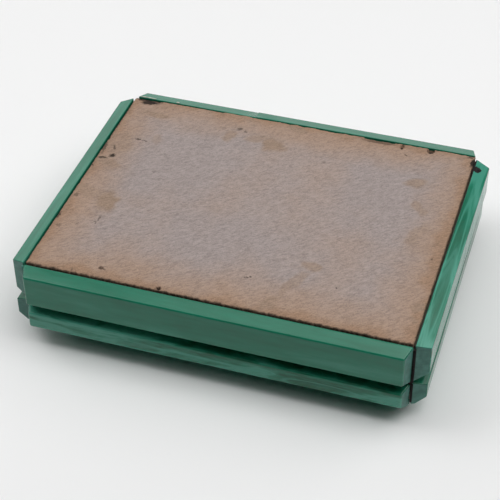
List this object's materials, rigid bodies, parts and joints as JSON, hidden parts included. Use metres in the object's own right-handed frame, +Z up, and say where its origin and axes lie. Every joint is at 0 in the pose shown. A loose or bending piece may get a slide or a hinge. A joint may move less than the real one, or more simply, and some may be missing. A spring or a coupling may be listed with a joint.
{
  "type": "powder box",
  "caption": "Flat rectangular dresser powder box of marbled cast-plastic bars round a fibreboard bottom, lying upside down on the raised plate of its lift-off lid, glass tray inside.",
  "frame": {"origin": "under the middle of the box, on the surface that the lid's raised plate lies on", "axes": "+X along the long side, +Y from the front side to the back side, +Z up from the lid to the fibreboard bottom, because the box lies upside down"},
  "size_m": [0.1396, 0.1114, 0.0315],
  "materials": {
    "marbled_plastic": "jade green cast plastic with paler and darker swirls, polished",
    "fibreboard": "aged pressed fibreboard, mauve brown, matt and fuzzy",
    "lining_card": "cream paper-covered card",
    "glue_block_wood": "plain sawn softwood",
    "pressed_glass": "clear pressed glass"
  },
  "bodies": {
    "lid": {"lid_front_wall": "marbled_plastic", "lid_back_wall": "marbled_plastic", "lid_left_wall": "marbled_plastic", "lid_right_wall": "marbled_plastic", "lid_raised_plate": "marbled_plastic", "lid_panel": "marbled_plastic", "lid_board": "fibreboard", "lid_lining_card": "lining_card"},
    "base": {"base_front_wall": "marbled_plastic", "base_back_wall": "marbled_plastic", "base_left_wall": "marbled_plastic", "base_right_wall": "marbled_plastic", "bottom_board": "fibreboard", "base_floor_card": "lining_card", "base_front_liner": "lining_card", "base_back_liner": "lining_card", "base_left_liner": "lining_card", "base_right_liner": "lining_card", "corner_block_front_left": "glue_block_wood", "corner_block_front_right": "glue_block_wood", "corner_block_back_left": "glue_block_wood", "corner_block_back_right": "glue_block_wood", "powder_tray": "pressed_glass"}
  },
  "joints": [
    {"name": "base_lift", "type": "slide", "parent": "lid", "child": "base", "axis": [0, 0, 1], "range_m": [0, 0.05]}
  ]
}
